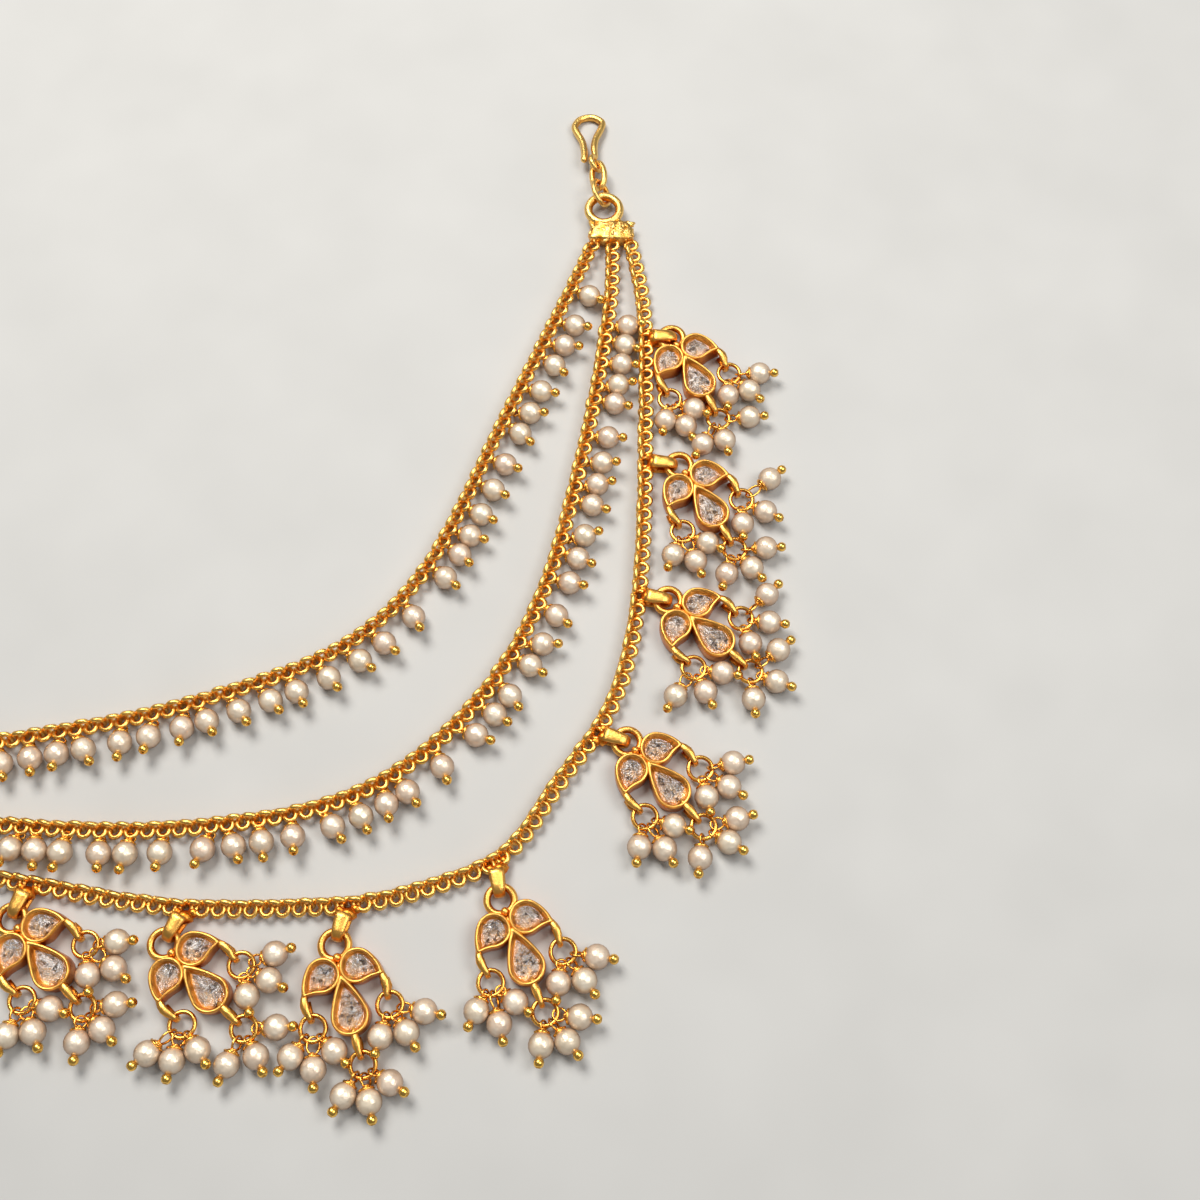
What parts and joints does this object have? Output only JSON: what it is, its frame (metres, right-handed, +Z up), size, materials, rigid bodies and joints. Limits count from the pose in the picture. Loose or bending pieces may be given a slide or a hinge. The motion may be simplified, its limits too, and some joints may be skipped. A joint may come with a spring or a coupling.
{
  "type": "ear chain",
  "caption": "Ear chain of fine link strands with trefoil stone pendants and pearl drops, ending in small hooks, laid flat.",
  "frame": {"origin": "middle of the surface that the chain covers, on that surface", "axes": "+Z up from the surface, +Y towards the right hook's end, +X towards the pendants of the right side"},
  "size_m": [0.143, 0.1372, 0.0032],
  "materials": {
    "gold": "satin gold plate",
    "setting": "satin gold plate, dark in the crevices",
    "pearl": "pearl lustre"
  },
  "bodies": {
    "root": {"chain_inner": "gold", "chain_middle": "gold", "chain_outer": "gold", "end_plate_right": "gold", "end_plate_left": "gold", "near_link_right": "gold", "near_link_left": "gold", "far_link_right": "gold", "far_link_left": "gold", "hook_right": "gold", "hook_left": "gold", "pendant_1": "setting", "pendant_2": "setting", "pendant_3": "setting", "pendant_4": "setting", "pendant_5": "setting", "pendant_6": "setting", "pendant_7": "setting", "pendant_8": "setting", "pearl_row_inner": "pearl", "pearl_row_middle": "pearl", "pearls_1_right": "pearl", "pearls_1_left": "pearl", "pearls_1_lower": "pearl", "pearls_2_right": "pearl", "pearls_2_left": "pearl", "pearls_2_lower": "pearl", "pearls_3_right": "pearl", "pearls_3_left": "pearl", "pearls_3_lower": "pearl", "pearls_4_right": "pearl", "pearls_4_left": "pearl", "pearls_4_lower": "pearl", "pearls_5_right": "pearl", "pearls_5_left": "pearl", "pearls_5_lower": "pearl", "pearls_6_right": "pearl", "pearls_6_left": "pearl", "pearls_6_lower": "pearl", "pearls_7_right": "pearl", "pearls_7_left": "pearl", "pearls_7_lower": "pearl", "pearls_8_right": "pearl", "pearls_8_left": "pearl", "pearls_8_lower": "pearl"}
  },
  "joints": []
}
